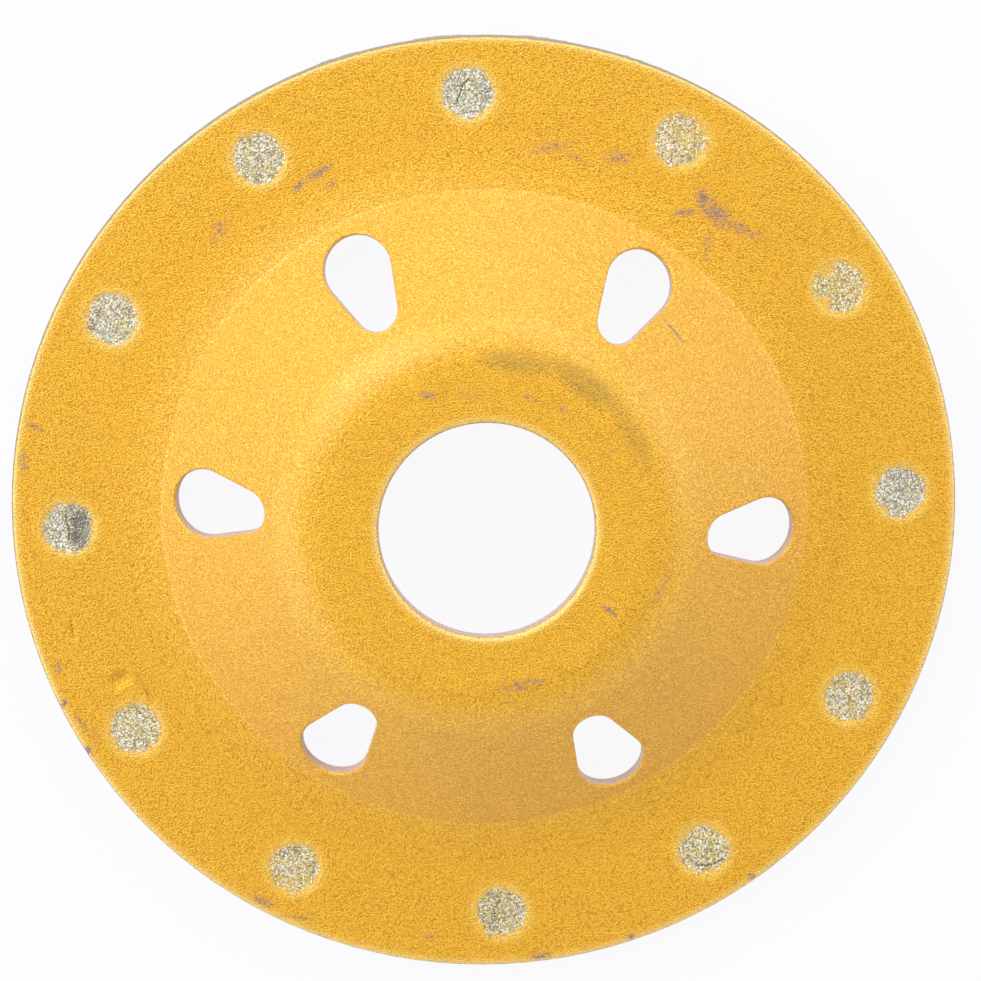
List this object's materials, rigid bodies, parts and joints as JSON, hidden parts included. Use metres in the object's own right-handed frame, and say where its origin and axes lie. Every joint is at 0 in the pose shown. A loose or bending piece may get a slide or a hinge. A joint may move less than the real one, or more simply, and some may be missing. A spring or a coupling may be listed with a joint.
{
  "type": "diamond cup wheel",
  "caption": "Pressed steel cup wheel with a raised hub, a plain bore, egg-shaped vents and a sintered diamond grinding ring under its flange.",
  "frame": {"origin": "centre of the grinding face, where the wheel rests on its blocks", "axes": "+Z along the bore's axis towards the hub's back face, +X through the middle of one anchor plug"},
  "size_m": [0.0996, 0.0996, 0.0175],
  "materials": {
    "gold_painted_steel": "satin metallic gold paint over pressed steel",
    "sintered_diamond_matrix": "rough sintered metal with diamond grit"
  },
  "bodies": {
    "root": {"steel_body": "gold_painted_steel", "abrasive_ring": "sintered_diamond_matrix"}
  },
  "joints": []
}
